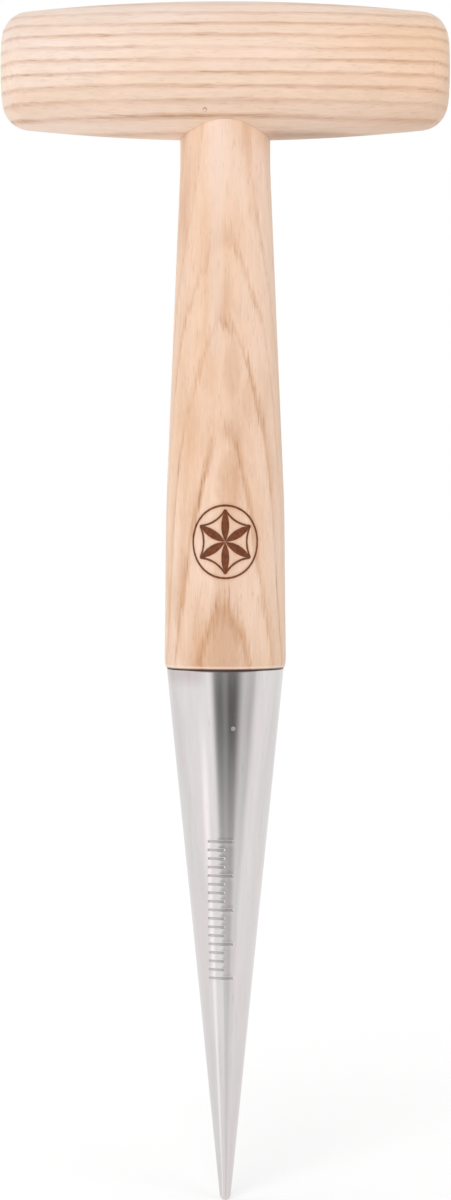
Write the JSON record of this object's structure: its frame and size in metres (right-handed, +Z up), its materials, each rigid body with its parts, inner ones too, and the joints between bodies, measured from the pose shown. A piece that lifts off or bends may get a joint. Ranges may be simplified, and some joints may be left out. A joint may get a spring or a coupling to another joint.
{
  "type": "potato planter",
  "caption": "T-handled hand planter: a barrel-shaped ash cross handle and tapered stem on a long hollow steel cone with a blunt solid tip, pushed into soil to make planting holes.",
  "frame": {"origin": "the lowest point of the cone's tip, on the axis that the cone and the stem share", "axes": "+Z up the stem from the tip to the cross handle, X along the cross handle with +X to the right seen from the front, and the front facing -Y"},
  "size_m": [0.104, 0.0324, 0.2797],
  "materials": {
    "cross_handle_ash": "pale ash, finely sanded, straight grain along the cross handle",
    "stem_ash": "pale ash, finely sanded, arched flame grain on the front",
    "cone_steel": "satin stainless steel, turned and finely brushed",
    "pin_steel": "plain steel, ground flush"
  },
  "bodies": {
    "root": {"cross_handle": "cross_handle_ash", "stem": "stem_ash", "steel_cone": "cone_steel", "nose_point": "cone_steel", "cone_pin": "pin_steel", "handle_pin": "pin_steel"}
  },
  "joints": []
}
